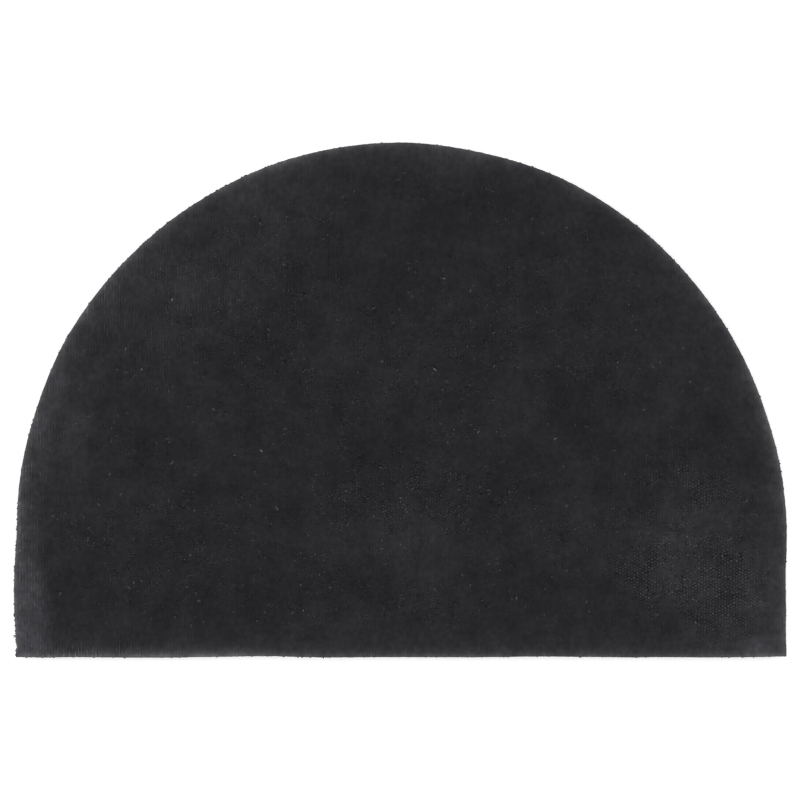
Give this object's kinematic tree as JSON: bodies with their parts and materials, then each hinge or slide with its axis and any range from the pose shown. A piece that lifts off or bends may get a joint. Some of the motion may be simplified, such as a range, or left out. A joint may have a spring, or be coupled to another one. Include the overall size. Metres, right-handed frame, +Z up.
{
  "type": "half-round coir doormat",
  "caption": "Half-round doormat lying face down: dark embossed vinyl backing on top, short dark tufted coir pile below, one straight front edge.",
  "frame": {"origin": "on the floor under the middle of the mat's bounding box", "axes": "+X along the straight front edge, +Y from the front edge to the crown of the arc, +Z up out of the backing"},
  "size_m": [0.6, 0.4, 0.015],
  "materials": {
    "backing_vinyl": "soft black vinyl with a fine embossed lattice, satin, scuffed paler towards the cut edge",
    "coir": "short stiff bristles of dark dyed coir"
  },
  "bodies": {
    "root": {"vinyl_backing": "backing_vinyl", "coir_pile": "coir"}
  },
  "joints": []
}
